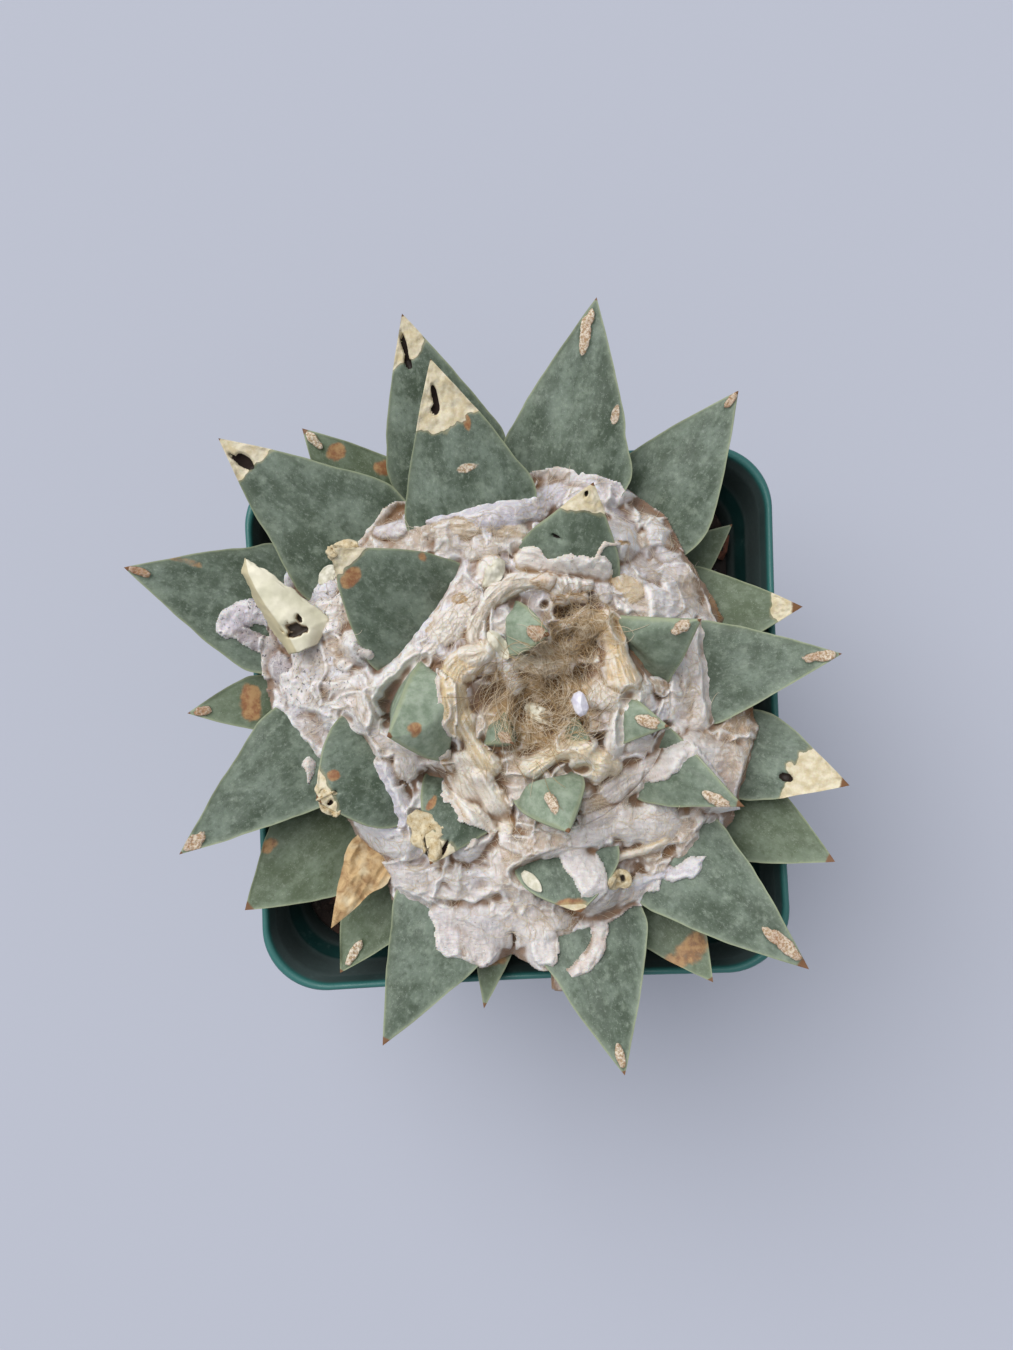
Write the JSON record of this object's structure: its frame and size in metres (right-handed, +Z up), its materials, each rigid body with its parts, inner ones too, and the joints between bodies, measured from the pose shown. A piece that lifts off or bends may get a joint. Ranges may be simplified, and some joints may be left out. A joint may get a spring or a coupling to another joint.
{
  "type": "potted cactus",
  "caption": "Low star-shaped living-rock cactus with three-sided pointed tubercles and matted wool, growing in a square tapered plastic nursery pot.",
  "frame": {"origin": "centre of the pot's foot, on the surface the pot stands on", "axes": "+Z up along the pot; X and Y square to the pot's sides, with -Y the side towards the viewer when the pot is seen from the front"},
  "size_m": [0.1336, 0.1424, 0.131],
  "materials": {
    "pot_plastic": "dark green polypropylene, satin, with a bright moulded lip",
    "mix": "coarse dark bark, lava grit and gravel, dry",
    "bark": "dull corky stem and root",
    "wool": "matted plant wool, off-white to tan, with loose golden fibres",
    "skin": "grey-green waxy skin with pale margins and a matt bloom",
    "dead_tissue": "dry cream to tan dead tissue",
    "quartz": "white quartz, slightly polished"
  },
  "bodies": {
    "root": {"pot": "pot_plastic", "growing_mix": "mix", "stem": "bark", "matted_wool": "wool", "tubercle_01": "skin", "tubercle_02": "skin", "tubercle_03": "skin", "tubercle_04": "skin", "tubercle_05": "skin", "tubercle_06": "skin", "tubercle_07": "skin", "tubercle_08": "skin", "tubercle_09": "skin", "tubercle_10": "skin", "tubercle_11": "skin", "tubercle_12": "skin", "tubercle_13": "skin", "tubercle_14": "skin", "tubercle_15": "skin", "tubercle_16": "skin", "tubercle_17": "skin", "tubercle_18": "skin", "tubercle_19": "skin", "tubercle_20": "skin", "tubercle_21": "skin", "tubercle_22": "skin", "tubercle_23": "skin", "tubercle_24": "skin", "tubercle_25": "skin", "tubercle_26": "skin", "tubercle_27": "skin", "tubercle_28": "skin", "tubercle_29": "skin", "tubercle_30": "skin", "tubercle_31": "skin", "tubercle_32": "skin", "tubercle_33": "skin", "tubercle_34": "skin", "tubercle_35": "skin", "tubercle_36": "skin", "tubercle_37": "skin", "shrivelled_tubercle": "dead_tissue", "bleached_husk": "dead_tissue", "quartz_pebble": "quartz"}
  },
  "joints": []
}
